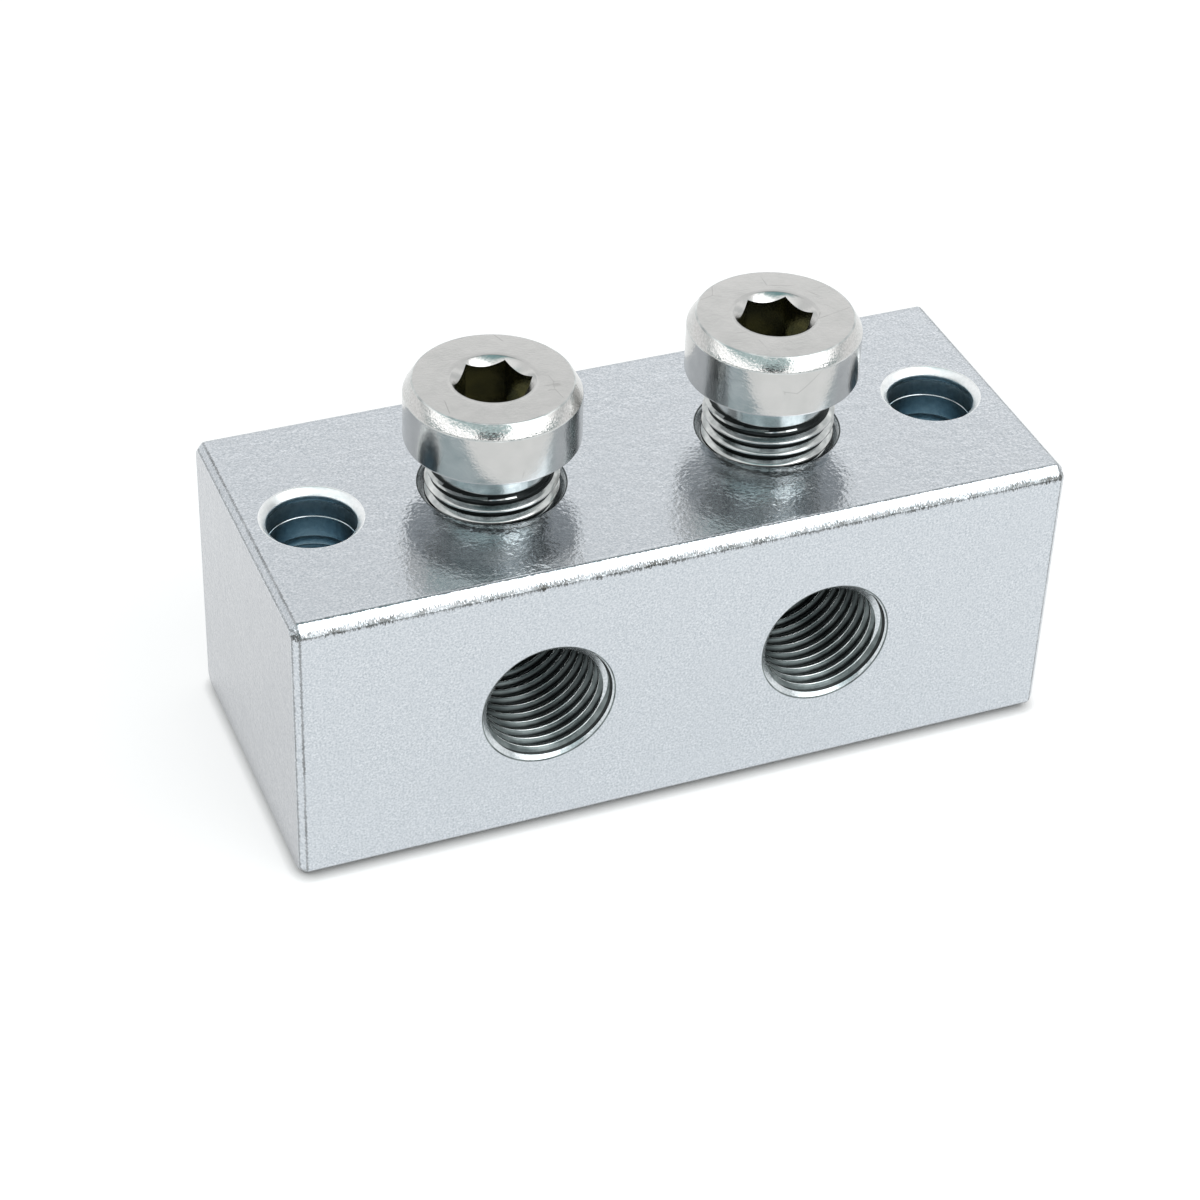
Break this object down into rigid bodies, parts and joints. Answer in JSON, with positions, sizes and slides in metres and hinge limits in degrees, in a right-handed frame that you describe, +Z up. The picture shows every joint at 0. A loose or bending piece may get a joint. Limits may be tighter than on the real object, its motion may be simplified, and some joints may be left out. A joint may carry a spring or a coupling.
{
  "type": "grease nipple block",
  "caption": "Rectangular steel grease manifold block with screw plugs in its top ports, threaded outlets in its front and mounting holes near its ends.",
  "frame": {"origin": "centre of the block's underside, midway between its ends and midway between front and back", "axes": "+X along the block's length to the right as seen from the front, +Y from the front face with the outlets to the back, +Z up along the plugs"},
  "size_m": [0.06, 0.025, 0.0329],
  "materials": {
    "zinc_plated_block": "satin, clear zinc plated",
    "bright_plug": "bright turned and plated"
  },
  "bodies": {
    "block": {"block": "zinc_plated_block"},
    "left_plug": {"left_plug": "bright_plug"},
    "right_plug": {"right_plug": "bright_plug"}
  },
  "joints": [
    {"name": "left_plug_travel", "type": "slide", "parent": "block", "child": "left_plug", "axis": [0, 0, 1], "range_m": [-0.004, 0.004]},
    {"name": "right_plug_travel", "type": "slide", "parent": "block", "child": "right_plug", "axis": [0, 0, 1], "range_m": [-0.005, 0.003]}
  ]
}
